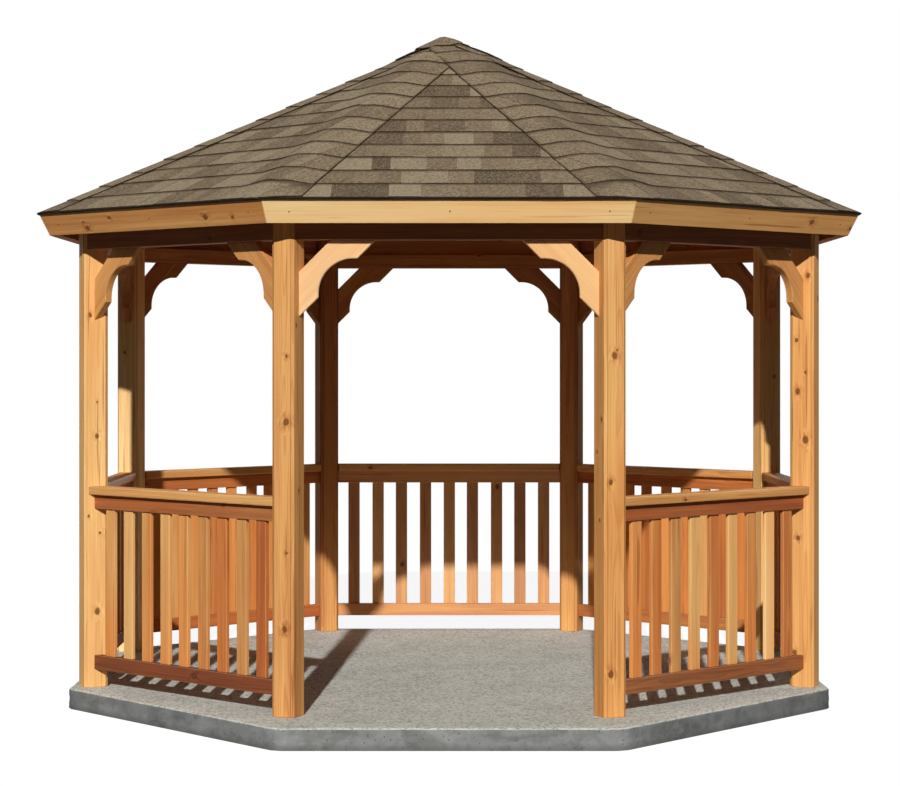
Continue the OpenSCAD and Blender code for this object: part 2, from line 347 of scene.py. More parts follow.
# Poured concrete: cloudy top with fine stone, darker cast sides with pits and streaks
def concrete(name):
    shader = Shader(name)
    look = concreteLook
    at = shader.objectPlace()
    level = shader.smooth(shader.channel(shader.node("NewGeometry", out="Normal"), 2), 0.35, 0.85)
    cloud = shader.noise(at, 2.6, 4.0, 0.6)
    patch = shader.noise(at, 11.0, 3.0, 0.6, 0.6)
    grit = shader.noise(at, 170.0, 3.0, 0.7)
    top = shader.mix(shader.smooth(cloud, 0.35, 0.65), look["topDark"], look["top"])
    top = shader.mix(0.6 * shader.smooth(patch, 0.50, 0.72), top, look["topPale"])
    side = shader.mix(shader.smooth(patch, 0.35, 0.65), look["side"], look["sideCool"])
    stain = shader.noise(shader.stretched(at, (1.0, 1.0, 2.2)), 5.0, 4.0, 0.62)
    side = shader.mix(0.60 * shader.smooth(stain, 0.52, 0.66), side, look["stain"])
    side = shader.mix(0.45 * shader.smooth(stain, 0.46, 0.34), side, look["sidePale"])
    # The sides darken towards the ground
    side = shader.mix(0.55 * shader.smooth(shader.channel(at, 2), 0.035, 0.0), side, look["pit"])
    # The sides darken towards both ends, most towards the right end
    aside = shader.channel(at, 0)
    ends = 0.30 * shader.smooth(aside, 0.7, 1.5) + 0.12 * shader.smooth(aside, -0.7, -1.5)
    side = shader.mix(ends, side, look["stain"])
    colour = shader.mix(level, side, top)
    stones = shader.node("TexVoronoi", {}, {"Vector": at, "Scale": 115.0})
    stoneTone = shader.channel(stones.also("Color"), 0, "Color")
    colour = shader.mix(0.64 * level * shader.smooth(stoneTone, 0.66, 0.86), colour, look["stone"])
    darkStones = (0.12 + 0.52 * level) * shader.smooth(stoneTone, 0.34, 0.10)
    colour = shader.mix(darkStones, colour, look["stoneDark"])
    colour = shader.mix(0.30 * shader.smooth(grit, 0.44, 0.30), colour, look["pit"])
    holes = shader.node("TexVoronoi", {}, {"Vector": at, "Scale": 38.0, "Randomness": 1.0})
    hole = shader.smooth(holes, 0.16, 0.10) * (1 - level)
    colour = shader.mix(0.7 * hole, colour, look["pit"])
    rough = 0.88 + 0.08 * (grit - 0.5)
    sockets = {"Base Color": colour, "Roughness": rough, "Specular IOR Level": 0.06}
    return shader.finish(sockets, 0.6 * grit + 0.4 * patch - 0.8 * hole, 0.6, 0.002)


# Nail heads: dull zinc, rusty in patches
def nailSteel(name):
    shader = Shader(name)
    rust = shader.noise(shader.objectPlace(), 420.0, 2.0, 0.6)
    colour = shader.mix(shader.smooth(rust, 0.45, 0.62), (66, 52, 42), (60, 36, 22))
    sockets = {"Base Color": colour, "Metallic": 0.75, "Roughness": 0.42 + 0.3 * rust}
    return shader.finish(sockets, rust, 0.2, 0.0003)


# Bitumen edge strip: near black, dusty in patches; its darkness is partly painted shade under the shingles'
# edge
def eaveStripAndShade(name):
    shader = Shader(name)
    at = shader.objectPlace()
    dust = shader.noise(at, 24.0, 4.0, 0.65)
    fine = shader.noise(at, 300.0, 2.0, 0.6)
    colour = shader.mix(shader.smooth(dust, 0.48, 0.78), (36, 28, 20), (58, 46, 34))
    sockets = {"Base Color": colour, "Roughness": 0.78 + 0.2 * (fine - 0.5), "Specular IOR Level": 0.08}
    return shader.finish(sockets, fine, 0.3, 0.0008)


wood = {
    "cedar_post": cedar("cedar post"),
    "cedar_header": cedar("cedar header"),
    "cedar_brace": cedar("cedar brace", wash=0.36),
    "cedar_rail": cedar("cedar rail", red=0.43, blush=(1.0, 0.69, 0.48, 1.0)),
    "cedar_cap": cedar("cedar handrail"),
    "cedar_rafter": cedar("cedar rafter"),
    "cedar_fascia": cedar("cedar fascia"),
}
backRailWood = cedar("cedar back rail", wash=0.14, washed=(0.0, 0.2))
deckWood = cedar("cedar roof deck", -0.04)
roofing = shingle("brown shingle")
padFinish = concrete("poured concrete")
steel = nailSteel("nail steel")
stripAndShadeFinish = eaveStripAndShade("eave strip and shade")
print("materials made:", len(bpy.data.materials))

draw = np.random.default_rng(41)


# A random amount, at most spread either way
def about(spread):
    return draw.uniform(-spread, spread)


# Where the pith of the log lies from the middle of a sawn board
def sawnPith(near=0.05, far=0.16):
    turn, reach = draw.uniform(0, 2 * math.pi), draw.uniform(near, far)
    return reach * math.cos(turn), reach * math.sin(turn)


# Faces of a closed skin over rings of points that follow each other: each point is joined to the next of its
# ring and to the same two of the next ring, and the first and last ring are filled; flip turns all faces over
def ringSkin(rings, around, flip=False):
    k, j = np.meshgrid(np.arange(rings - 1), np.arange(around), indexing="ij")
    after = (j + 1) % around
    quads = np.stack([k * around + j, k * around + after, (k + 1) * around + after, (k + 1) * around + j], -1)
    first = list(range(around))[::-1]
    last = list(range((rings - 1) * around, rings * around))
    if flip:
        return quads[..., [0, 3, 2, 1]].reshape(-1, 4).tolist() + [first[::-1], last[::-1]]
    return quads.reshape(-1, 4).tolist() + [first, last]


# Rectangle anticlockwise from its low corner, each corner a quarter circle of radius ease in a few points
def roundedRectangle(wide, deep, ease, corner):
    quarter = np.radians(np.linspace(0, 90, corner))
    arcs = []
    for k, (a, b) in enumerate([(-1, -1), (1, -1), (1, 1), (-1, 1)]):
        turn = quarter + math.radians(180 + 90 * k)
        arcs.append(np.stack([a * (wide / 2 - ease) + ease * np.cos(turn),
                              b * (deep / 2 - ease) + ease * np.sin(turn)], -1))
    return np.concatenate(arcs)


# A length that is the same all over a board's end
def square(length):
    def cut(v, w):
        return np.full_like(v, length)
    return cut


boardLook = {"trim": 0.0016, "leastEase": 0.0004, "grainShift": 40, "skinShift": 60}


# A board: a section in width and thickness carried along its length, with each end cut to a surface
# u = cut(v, w) and its end edges trimmed. Place = middle + u * lengthWay + v * wideWay + w * thickWay.
# The section is a pair of sizes or an outline, and a start that isn't given mirrors the end.
# A knot is its side, its place along and across that side, and its radius.
def board(middle, lengthWay, wideWay, section, end, tone, pith, ease=0.003, corner=3, start=None, knots=(),
          crease=None):
    trim = boardLook["trim"]
    plain = isinstance(section, tuple)
    if plain:
        outer = roundedRectangle(*section, ease, corner)
        inner = roundedRectangle(section[0] - 2 * trim, section[1] - 2 * trim,
                                 max(ease - trim, boardLook["leastEase"]), corner)
    else:
        outer = section
        inner = section * (1 - trim / np.linalg.norm(section, axis=1).mean())
    count = len(outer)
    v, w = np.moveaxis(np.stack([inner, outer, outer, inner]), -1, 0)
    low = start(v[:2], w[:2]) if start else -end(v[:2], w[:2])
    high = end(v[2:], w[2:])
    u = np.stack([low[0], low[1] + trim, high[0] - trim, high[1]])
    local = np.stack([u, v, w], -1)
    axes = np.stack([lengthWay, wideWay, np.cross(lengthWay, wideWay)])
    grain = local + np.array([draw.uniform(0, boardLook["grainShift"]), pith[0], pith[1]])

    # The skin unrolled: u along the board, and the way round its section across it
    faces = ringSkin(4, count)
    around = np.concatenate([[0], np.cumsum(np.linalg.norm(np.roll(outer, -1, 0) - outer, axis=1))])
    skinShift = draw.uniform(0, boardLook["skinShift"], 2)
    j = np.tile(np.arange(count), 3)
    skin = np.stack([u.ravel()[np.array(faces[:-2])], around[np.stack([j, j + 1, j + 1, j], -1)]], -1)
    skin = np.concatenate([skin.reshape(-1, 2), inner[::-1], inner]) + skinShift

    worn = np.zeros(count)
    if plain:
        worn[corner // 2::corner] = 1.0
    placed = np.zeros((len(cedarLook["knotNames"]), 3))
    for n, (side, along, across, girth) in enumerate(knots):
        first = (side + 1) * corner - 1
        spot = around[first] + abs(across - outer[first][side % 2])
        placed[n] = [along + skinShift[0], spot + skinShift[1], girth]
    return {
        "verts": (middle + local @ axes).reshape(-1, 3), "grain": grain.reshape(-1, 3), "faces": faces,
        "skin": skin, "tone": np.repeat(np.broadcast_to(tone, 2), 2 * count), "edge": np.tile(worn, 4),
        "crease": np.tile(np.zeros(count) if crease is None else crease, 4), "knots": placed,
        "endGrain": np.concatenate([np.zeros(3 * count), np.ones(2)]),
    }


# An object of this data in the scene
def newObject(name, data):
    made = bpy.data.objects.new(name, data)
    scene.collection.objects.link(made)
    return made


# Many solids as one mesh: vertices, faces, the unrolled skin and the board attributes end to end
def putTogether(name, solids, material, replaced=(), smoothAngle=None):
    def joined(key):
        return np.concatenate([s[key] for s in solids])

    starts = np.cumsum([0] + [len(s["verts"]) for s in solids])
    faces = [[start + n for n in face] for s, start in zip(solids, starts) for face in s["faces"]]
    mesh = bpy.data.meshes.new(name)
    mesh.from_pydata(joined("verts").tolist(), [], faces)
    layers = {}
    if "grain" in solids[0]:
        layers["grainAt"] = ("FLOAT_VECTOR", "POINT", joined("grain"))
        for n, label in enumerate(cedarLook["knotNames"]):
            rows = [np.tile(s["knots"][n], (len(s["verts"]), 1)) for s in solids]
            layers[label] = ("FLOAT_VECTOR", "POINT", np.concatenate(rows))
    for label in ("tone", "edge", "crease", "band", "endGrain", "cutEdge"):
        if label in solids[0]:
            domain = "FACE" if label in ("endGrain", "cutEdge") else "POINT"
            layers[label] = ("FLOAT", domain, joined(label))
    for label, (kind, domain, values) in layers.items():
        field = "vector" if kind == "FLOAT_VECTOR" else "value"
        mesh.attributes.new(label, kind, domain).data.foreach_set(field, values.astype(np.float32).ravel())
    if "skin" in solids[0]:
        mesh.uv_layers.new(name="skin").data.foreach_set("uv", joined("skin").astype(np.float32).ravel())
    if smoothAngle is not None:
        mesh.shade_smooth()
        mesh.set_sharp_from_angle(angle=math.radians(smoothAngle))
    mesh.validate()
    mesh.materials.append(material)
    piece = newObject(name, mesh)
    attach(piece, "root")
    if replaced:
        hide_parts(*replaced)
    return piece


# A board between two posts, its ends on the sides of the posts
def bayBoard(i, rIn, rOut, zLow, zTop, tone, ease=0.003):
    rMid = (rIn + rOut) / 2

    def right(v, w):
        return halfSpan(rMid + w) - plan["hair"]

    middle = bayOut[i] * rMid + up * (zLow + zTop) / 2
    return board(middle, bayAlong[i], up, (zTop - zLow, rOut - rIn), right, tone, sawnPith(), ease)


# Posts. Tones at foot and head, the posts at the back darker towards their heads as painted shade under the
# roof; knots as side, height from the middle, place across, radius
postLook = {
    "tones": [(0.60, 0.66), (0.64, 0.71), (0.82, 0.70), (0.60, 0.42), (0.54, 0.30), (1.08, 0.74),
              (0.75, 0.85), (0.54, 0.64)],
    "quirk": 0.0018, "near": 0.004, "pith": (0.012, 0.04),
    "knots": {
        "front_right": [(1, 0.435, -0.006, 0.0125), (1, 0.458, 0.0065, 0.004), (0, 0.172, 0.030, 0.007),
                        (0, 0.034, -0.013, 0.006), (1, -0.885, -0.0225, 0.012), (0, -0.248, 0.010, 0.006)],
        "front_left": [(1, 0.433, 0.020, 0.006), (1, 0.159, 0.018, 0.013), (1, -0.699, 0.012, 0.011),
                       (2, 0.560, 0.030, 0.005), (2, -0.126, 0.004, 0.006), (1, -0.383, 0.021, 0.005)],
        "left_front": [(2, 0.619, 0.028, 0.009), (2, 0.071, -0.003, 0.009), (2, 0.225, -0.003, 0.004),
                       (2, -0.723, -0.0047, 0.012), (2, -0.367, -0.016, 0.005), (2, -0.290, 0.043, 0.006)],
        "right_front": [(0, 0.798, 0.029, 0.010), (0, 0.506, -0.024, 0.008), (0, 0.360, 0.018, 0.005),
                        (0, 0.055, 0.018, 0.014), (0, -0.391, -0.017, 0.009), (0, -0.910, -0.033, 0.010)],
    },
}


# Outline of a post: each corner routed to a chamfer that lies a little below the two faces.
# Also a painted-shade value for each point, 1 at the foot of the two small shoulders, where a thin shadow
# line is painted.
def postOutline():
    halfDeep, halfWide, cut = plan["postDeep"] / 2, plan["postWide"] / 2, plan["postEdge"]
    quirk, near = postLook["quirk"], postLook["near"]
    points = []
    for k in range(4):
        a, b = [(-1, -1), (1, -1), (1, 1), (-1, 1)][k]
        arrive, leave = np.array([[0, -1], [1, 0], [0, 1], [-1, 0]])[[k, (k + 1) % 4]]
        sharp = np.array([a * halfDeep, b * halfWide])
        p, q = sharp - cut * arrive, sharp + cut * leave
        inward = -quirk * np.array([a, b]) / math.sqrt(2)
        way = (q - p) / np.linalg.norm(q - p)
        points += [p - near * arrive, p, p + inward, p + inward + near * way]
        points += [q + inward - near * way, q + inward, q, q + near * leave]
    return np.array(points), np.tile([0.0, 0.2, 1.0, 0.0, 0.0, 1.0, 0.2, 0.0], 4)


postSection, postShoulderShade = postOutline()
postTall = headerTop - floorZ
for i, corner in enumerate(corners):
    middle = cornerOut[i] * plan["postRing"] + up * (floorZ + postTall / 2)
    solid = board(middle, up, cornerOut[i], postSection, square(postTall / 2), postLook["tones"][i],
                  sawnPith(*postLook["pith"]), corner=len(postSection) // 4,
                  knots=postLook["knots"].get(corner, ()), crease=postShoulderShade)
    putTogether("cedar_post_" + corner, [solid], wood["cedar_post"], ["post_" + corner])
print("posts: 8")

# Headers and ledgers; their low tones are partly the wood's own and partly painted shade of the eave and the
# roof
headerLook = {"tones": [0.25, 0.25, 0.28, 0.40, 0.45, 0.40, 0.28, 0.25], "ledgerTone": 0.36, "spread": 0.06}
ledgers = []
for i, bay in enumerate(bays):
    solid = bayBoard(i, headerIn, headerOut, headerLow, headerTop, headerLook["tones"][i])
    putTogether("header_board_" + bay, [solid], wood["cedar_header"], ["header_" + bay])
    ledgerTone = headerLook["ledgerTone"] + about(headerLook["spread"])
    ledgers.append(bayBoard(i, headerIn - plan["ledgerThick"], headerIn, headerLow,
                            headerLow + plan["ledgerTall"], ledgerTone))
putTogether("ledger_boards", ledgers, wood["cedar_header"], ["ledgers"])
print("headers: 8, ledgers: 8")

# The braces at the back get low tones, partly painted shade under the roof
braceLook = {"leg": 0.320, "board": 0.132, "thick": 0.038, "toe": 0.082, "rise": 0.076, "scallop": 0.146,
             "ease": 0.003, "arcSteps": 20, "tones": [0.75, 0.54, 0.44, 0.34, 0.44, 0.34, 0.44, 0.55],
             "spread": 0.05, "smooth": 25}


# Outline of a knee brace in the plane of its bay: x away from the post, z from the header, c the post's side
def braceOutline(c):
    toe, rise, leg, scallop = (braceLook[key] for key in ("toe", "rise", "leg", "scallop"))
    back = leg - braceLook["board"] * math.sqrt(2)
    turn = np.linspace(math.pi, math.pi / 2, braceLook["arcSteps"] + 1)
    arc = np.stack([toe + scallop * (1 + np.cos(turn)), -rise - scallop * (1 - np.sin(turn))], -1)
    low = [[c, c - back], [c, c - leg], [toe, toe - leg]]
    high = [[leg - rise, -rise], [leg, 0.0], [back, 0.0]]
    return np.concatenate([low, arc, high])


# An outline moved inward by the same distance on every edge
def inset(outline, distance):
    ahead = np.roll(outline, -1, 0) - outline
    ahead /= np.linalg.norm(ahead, axis=1)[:, None]
    inward = np.stack([-ahead[:, 1], ahead[:, 0]], -1)
    inwardBehind = np.roll(inward, 1, 0)
    share = 1 + (inward * inwardBehind).sum(1)
    return outline + distance * (inward + inwardBehind) / share[:, None]


# A brace: its outline carried through its thickness, both faces set in by the ease
def brace(i, side):
    ease, thick = braceLook["ease"], braceLook["thick"]
    rOut = railLine + thick / 2
    depths = np.array([0.0, ease, thick - ease, thick])
    outlines = [braceOutline(depth * tanHalf) for depth in depths]
    for k in (0, 3):
        outlines[k] = inset(outlines[k], ease)
    x, z = np.moveaxis(np.stack(outlines), -1, 0)
    deepAt = depths[:, None] + np.zeros_like(x)
    s = side * (x - halfSpan(rOut))
    level = headerLow - plan["hair"] + z
    verts = (rOut - deepAt)[..., None] * bayOut[i] + s[..., None] * bayAlong[i] + level[..., None] * up
    faces = ringSkin(4, x.shape[1], True)
    if side < 0:
        faces = [face[::-1] for face in faces]

    # The grain runs along the brace, from the post up to the header
    lengthAt = (x + z) / math.sqrt(2)
    acrossAt = (z - x) / math.sqrt(2)
    pith = sawnPith()
    lengthShift = draw.uniform(0, boardLook["grainShift"])
    grain = np.stack([lengthAt + lengthShift, acrossAt + pith[0], deepAt + pith[1]], -1)
    skin = np.stack([lengthAt, acrossAt], -1).reshape(-1, 2) + draw.uniform(0, boardLook["skinShift"], 2)
    tone = braceLook["tones"][i] + about(braceLook["spread"])
    blank = np.zeros(x.size)
    return {
        "verts": verts.reshape(-1, 3), "grain": grain.reshape(-1, 3), "faces": faces,
        "skin": np.concatenate([skin[face] for face in faces]), "tone": blank + tone, "edge": blank,
        "crease": blank, "endGrain": np.zeros(len(faces)),
        "knots": np.zeros((len(cedarLook["knotNames"]), 3)),
    }


braces = [brace(i, side) for i in range(8) for side in (1, -1)]
putTogether("scalloped_braces", braces, wood["cedar_brace"], ["knee_braces"],
            braceLook["smooth"])
print("braces:", len(braces))

# Railings. Tones by bay, the back bay's top rail and handrail paler as painted light for the sky on them in
# shade; the balusters run from left to right, and shifts move some by bay and number
railLook = {
    "topTones": [0.0, 0.30, 0.32, 0.44, 0.57, 0.44, 0.32, 0.34],
    "lowTones": [0.0, 0.19, 0.24, 0.42, 0.50, 0.42, 0.24, 0.13],
    "capTones": [0.0, 0.57, 0.54, 0.58, 0.70, 0.58, 0.58, 0.64],
    "balusterTones": {1: [0.68, 0.54, 0.56, 0.68, 0.48, 0.70, 0.54, 0.99, 0.56],
                      2: [0.50, 0.46, 0.52, 0.48, 0.95, 0.48, 0.52, 0.46, 0.50],
                      3: [0.60, 0.54, 0.66, 0.58, 0.70, 0.55, 0.62, 0.66, 0.57],
                      4: [0.50, 0.42, 0.58, 0.47, 0.66, 0.44, 0.50, 0.58, 0.46],
                      5: [0.60, 0.54, 0.66, 0.58, 0.70, 0.55, 0.62, 0.66, 0.57],
                      6: [0.46, 0.52, 0.50, 0.46, 0.54, 0.48, 0.50, 0.52, 0.46],
                      7: [0.64, 0.74, 0.65, 0.72, 0.68, 0.56, 0.52, 0.56, 0.44]},
    "shifts": {(3, 0): 0.012, (3, 5): 0.012, (5, 3): -0.012, (5, 8): -0.012},
    "spread": 0.05, "sideSlack": 0.002, "faceSlack": 0.0008, "balusterEase": 0.0025, "capEase": 0.005,
}


# One upright board of a railing, between the two rails
def baluster(i, s, tone):
    tall = subRailLow - bottomRailTop
    middle = bayOut[i] * (railLine + about(railLook["faceSlack"])) + bayAlong[i] * s
    middle = middle + up * (subRailLow + bottomRailTop) / 2
    return board(middle, up, bayOut[i], (plan["balusterThick"], plan["balusterWide"]), square(tall / 2), tone,
                 sawnPith(), railLook["balusterEase"])


caps = []
railIn, railOut = railLine - plan["railThick"] / 2, railLine + plan["railThick"] / 2
capIn, capOut = railLine - plan["capWide"] / 2, railLine + plan["capWide"] / 2
clear = 2 * halfSpan(railLine)
pace = (clear + plan["balusterWide"]) / (plan["balusters"] + 1)
for i in range(1, 8):
    solids = [bayBoard(i, railIn, railOut, subRailLow, subRailTop, railLook["topTones"][i]),
              bayBoard(i, railIn, railOut, bottomRailLow, bottomRailTop, railLook["lowTones"][i])]
    for n in range(plan["balusters"]):
        s = (n + 1) * pace - (clear + plan["balusterWide"]) / 2 + about(railLook["sideSlack"])
        s += railLook["shifts"].get((i, n), 0.0)
        solids.append(baluster(i, s, railLook["balusterTones"][i][n] + about(railLook["spread"])))
    railWood = backRailWood if bays[i] == "back" else wood["cedar_rail"]
    putTogether("railing_" + bays[i], solids, railWood, ["rail_" + bays[i]])
    caps.append(bayBoard(i, capIn, capOut, subRailTop, railTop, railLook["capTones"][i], railLook["capEase"]))
putTogether("handrail_boards", caps, wood["cedar_cap"], ["rail_caps"])
print("railings: 7, handrails: 7")


# Slope vectors of a bay: square to the roof, and up the slope
def slopeWays(i):
    return bayOut[i] * sinPitch + up * cosPitch, up * sinPitch - bayOut[i] * cosPitch


# A board across a bay that leans with the roof, its ends on the planes between the bays
def mitredBoard(i, middleR, middleZ, wideWay, size, tone, ease, short=plan["hair"], knots=()):
    rWide = float(wideWay @ bayOut[i])
    rThick = float(np.cross(bayAlong[i], wideWay) @ bayOut[i])

    def right(v, w):
        return (middleR + v * rWide + w * rThick) * tanHalf - short

    middle = bayOut[i] * middleR + up * middleZ
    return board(middle, bayAlong[i], wideWay, size, right, tone, sawnPith(), ease, knots=knots)


# Nails on the fascia: places along and up the board
nailLook = {"radius": 0.0044, "rise": 0.0012, "sunk": 0.0004, "shank": 0.003, "shares": [1.0, 0.67, 0.34],
            "spokes": 10, "smooth": 40, "places": [(-0.653, -0.002), (0.004, 0.0), (0.657, 0.0)]}


# A nail head: a low dome turned about its axis, height = rise * cos(90 degrees * distance / radius)
def nail(at, axis, side):
    turns = np.arange(nailLook["spokes"]) * 2 * math.pi / nailLook["spokes"]
    share, turn = np.meshgrid(nailLook["shares"], turns, indexing="ij")
    reach = nailLook["radius"] * share
    lift = nailLook["rise"] * np.cos(share * math.pi / 2) - nailLook["sunk"]
    rings = at + (reach * np.cos(turn))[..., None] * side
    rings = rings + (reach * np.sin(turn))[..., None] * np.cross(axis, side) + lift[..., None] * axis
    verts = np.concatenate([rings[:1] - nailLook["shank"] * axis, rings])
    return {"verts": verts.reshape(-1, 3), "faces": ringSkin(len(verts), nailLook["spokes"])}


# The front fascia's high tone is painted light, making up for its lean away from the key; the lower tones of
# the others are partly painted shade
fasciaLook = {
    "tones": [0.97, 0.67, 0.60, 0.62, 0.66, 0.62, 0.58, 0.55], "ease": 0.0025, "trim": 0.0006,
    "knots": {"front_left": [(2, -0.269, 0.016, 0.007), (2, -0.466, 0.004, 0.005), (2, 0.376, -0.008, 0.012),
                             (2, 0.550, -0.016, 0.007)],
              "front_right": [(2, 0.444, 0.003, 0.012), (2, 0.741, -0.017, 0.008)]},
}
nails = []
for i, bay in enumerate(bays):
    offSlope, upSlope = slopeWays(i)
    half = plan["fasciaThick"] / 2
    middleR = eave - half * cosPitch - plan["fasciaWide"] / 2 * sinPitch
    middleZ = eaveZ + half * sinPitch - plan["fasciaWide"] / 2 * cosPitch
    size = (plan["fasciaWide"] - fasciaLook["trim"], plan["fasciaThick"])
    solid = mitredBoard(i, middleR, middleZ, offSlope, size, fasciaLook["tones"][i], fasciaLook["ease"],
                        knots=fasciaLook["knots"].get(bay, ()))
    putTogether("fascia_board_" + bay, [solid], wood["cedar_fascia"], ["fascia_" + bay])
    for place, lean in nailLook["places"]:
        spot = bayOut[i] * middleR + up * middleZ - upSlope * half + bayAlong[i] * place + offSlope * lean
        nails.append(nail(spot, -upSlope, bayAlong[i]))
putTogether("fascia_nails", nails, steel, (), nailLook["smooth"])
print("fascia boards: 8, nails:", len(nails))

rafterLook = {"tone": 0.50, "spread": 0.07, "ease": 0.002, "lower": 0.0003, "hipLower": 0.0004,
              "hipClear": 0.001, "hubTone": 0.46, "hubPith": (0.01, 0.02), "hubSides": 16, "hubLower": 0.002}


# A rafter from the fascia up to the hub, pitch being its lean: it is cut upright against the hub, and stops
# short of its foot by back + flare * |w|, measured level
def rafter(out, pitch, foot, deep, section, back, flare, lower):
    offWay = out * math.sin(pitch) + up * math.cos(pitch)
    upWay = up * math.sin(pitch) - out * math.cos(pitch)
    middleR = (foot + plan["hubReach"]) / 2
    middle = out * middleR + up * (eaveZ + math.tan(pitch) * (foot - middleR)) - offWay * (deep / 2 + lower)

    def hubEnd(v, w):
        return (middleR + (v - deep / 2) * math.sin(pitch) - plan["hubReach"]) / math.cos(pitch)

    def footEnd(v, w):
        return (middleR - foot + back + flare * np.abs(w)) / math.cos(pitch)

    tone = rafterLook["tone"] + about(rafterLook["spread"])
    return board(middle, upWay, offWay, section, hubEnd, tone, sawnPith(), rafterLook["ease"], start=footEnd)


# Height of the underside of the roof boards over a point, the lowest of the eight slopes
def roofUnder(x, y):
    reach = np.max(np.stack([x * out[0] + y * out[1] for out in bayOut]), 0)
    return eaveZ + tanPitch * (eave - reach)


# One rafter up the middle of each bay, and one under each hip with its top edge backed to both slopes
section = (plan["rafterDeep"], plan["rafterThick"])
back = (plan["fasciaThick"] + plan["hair"]) * cosPitch
rafters = [rafter(out, plan["pitch"], eave, plan["rafterDeep"], section, back, 0.0, rafterLook["lower"])
           for out in bayOut]
deep, thick = plan["hipDeep"] / 2, plan["rafterThick"] / 2
drop = thick * math.sin(halfTurn) * tanPitch
section = np.array([[-deep, -thick], [deep - drop, -thick], [deep, 0.0], [deep - drop, thick],
                    [-deep, thick]])
back = (plan["fasciaThick"] + rafterLook["hipClear"]) / cosPitch / math.cos(halfTurn)
hipPitch = math.atan(tanPitch * math.cos(halfTurn))
hipEave = eave / math.cos(halfTurn)
rafters += [rafter(out, hipPitch, hipEave, plan["hipDeep"], section, back, tanHalf, rafterLook["hipLower"])
            for out in cornerOut]
putTogether("rafter_boards", rafters, wood["cedar_rafter"], ["rafters"])

hubLow = eaveZ + tanPitch * (eave - plan["hubReach"]) - plan["rafterDeep"] / cosPitch - plan["hubDrop"]
hubTurn = (np.arange(rafterLook["hubSides"]) + 0.5) * 2 * math.pi / rafterLook["hubSides"]
hubSection = plan["hubReach"] / math.cos(halfTurn / 2) * np.stack([np.cos(hubTurn), np.sin(hubTurn)], -1)


# The hub's top follows the roof boards
def hubTop(v, w):
    return roofUnder(v, w) - rafterLook["hubLower"]


hub = board(np.zeros(3), up, np.array([1.0, 0.0, 0.0]), hubSection, hubTop, rafterLook["hubTone"],
            rafterLook["hubPith"], start=square(hubLow))
putTogether("rafter_hub", [hub], wood["cedar_rafter"], ["roof_hub"])
print("rafters:", len(rafters))

# Roof boards
deckLook = {"thick": 0.006, "plank": 0.138, "joint": 0.0012, "tone": 0.54, "spread": 0.12, "short": 0.014,
            "start": 0.0075, "lift": 0.0003, "ease": 0.0025, "topGap": 0.07, "least": 0.04}
slopeLong = (eave + plan["drip"] * cosPitch) / cosPitch


# Distance out and height of a place on a roof slope: t up the slope from its lower edge, h square to it
def onSlope(t, h):
    return (eave + (plan["drip"] - t) * cosPitch + h * sinPitch,
            eaveZ + (t - plan["drip"]) * sinPitch + h * cosPitch)


for i, bay in enumerate(bays):
    planks = []
    low = deckLook["start"]
    while low < slopeLong - deckLook["topGap"] - deckLook["least"]:
        high = min(low + deckLook["plank"], slopeLong - deckLook["topGap"])
        middleR, middleZ = onSlope((low + high) / 2, deckLook["thick"] / 2 + deckLook["lift"])
        size = (high - low - deckLook["joint"], deckLook["thick"])
        tone = deckLook["tone"] + about(deckLook["spread"])
        planks.append(mitredBoard(i, middleR, middleZ, slopeWays(i)[1], size, tone, deckLook["ease"],
                                  deckLook["short"]))
        low += deckLook["plank"]
    putTogether("roof_deck_" + bay, planks, deckWood, ["roof_" + bay])
print("roof decks: 8")

# Shingles. Names that end in From, To or Over are pairs where something starts and is full
roofLook = {
    "exposure": 0.1525, "overhang": -0.001, "lap": 0.030, "rest": 0.0115, "under": 0.0092, "step": 0.0034,
    "top": 0.032, "leastCourse": 0.2, "columns": 5, "edgeColumn": 0.08, "rowPlaces": [0.0, 0.5, 0.84, 0.97],
    "lastRow": 0.99, "tabWidth": (0.07, 0.185), "margin": 0.03, "joint": 0.0006, "eaveLoose": 0.0034,
    "loose": 0.0009, "raised": 0.0010, "raisedShare": 0.45, "smooth": 20,
    # Over the hips
    "wrapsMinus": {1, 2, 3, 4}, "wrapsPlus": {4, 5, 6, 7}, "wrap": 0.156, "wrapMost": 0.97, "shy": 0.070,
    "shyMost": 0.45, "bend": 0.060, "sweep": 0.13, "level": 0.55, "lift": 0.0068, "liftOver": (0.06, 0.20),
    "extraBays": {1, 2}, "extra": 0.006, "extraFrom": (0.04, 0.07), "extraTo": (0.55, 0.40),
    "swellBays": {1, 7}, "swell": 0.013, "swellSlide": 0.022, "swellFrom": (-0.20, -0.03),
    "swellOver": (0.06, 0.30),
    # Tones by slope, and how far the dark and pale tabs stand off them
    "tones": [0.65, 0.67, 0.67, 0.65, 0.65, 0.67, 0.73, 0.73], "spread": 0.10, "bandOver": (0.84, 0.97),
    "contrast": [1.05, 0.66, 0.80, 1.0, 1.0, 1.0, 0.80, 0.66], "darkBelow": 0.30, "darker": 0.38,
    "paleAbove": 0.72, "paler": 0.28, "calm": 0.6, "calmOver": (-0.03, 0.05),
}
hipLean = math.atan(cosPitch * tanHalf)
foldAngle = math.acos(sinPitch ** 2 * math.cos(math.radians(45)) + cosPitch ** 2)


# Largest s of a course at t on one side of a slope: past the hip where it wraps, short of it elsewhere
def courseEnd(t, wraps):
    toApex = slopeLong - t
    hip = toApex * math.tan(hipLean)
    if wraps:
        most = toApex * math.tan(3 * hipLean) * roofLook["wrapMost"]
        return np.minimum(hip + roofLook["wrap"] / math.cos(hipLean), most)
    return hip - np.minimum(roofLook["shy"] / math.cos(hipLean), roofLook["shyMost"] * hip)


# How far a place on a slope lies past the nearer hip line, square to it
def pastHip(s, t):
    return (np.abs(s) - (slopeLong - t) * math.tan(hipLean)) * math.cos(hipLean)


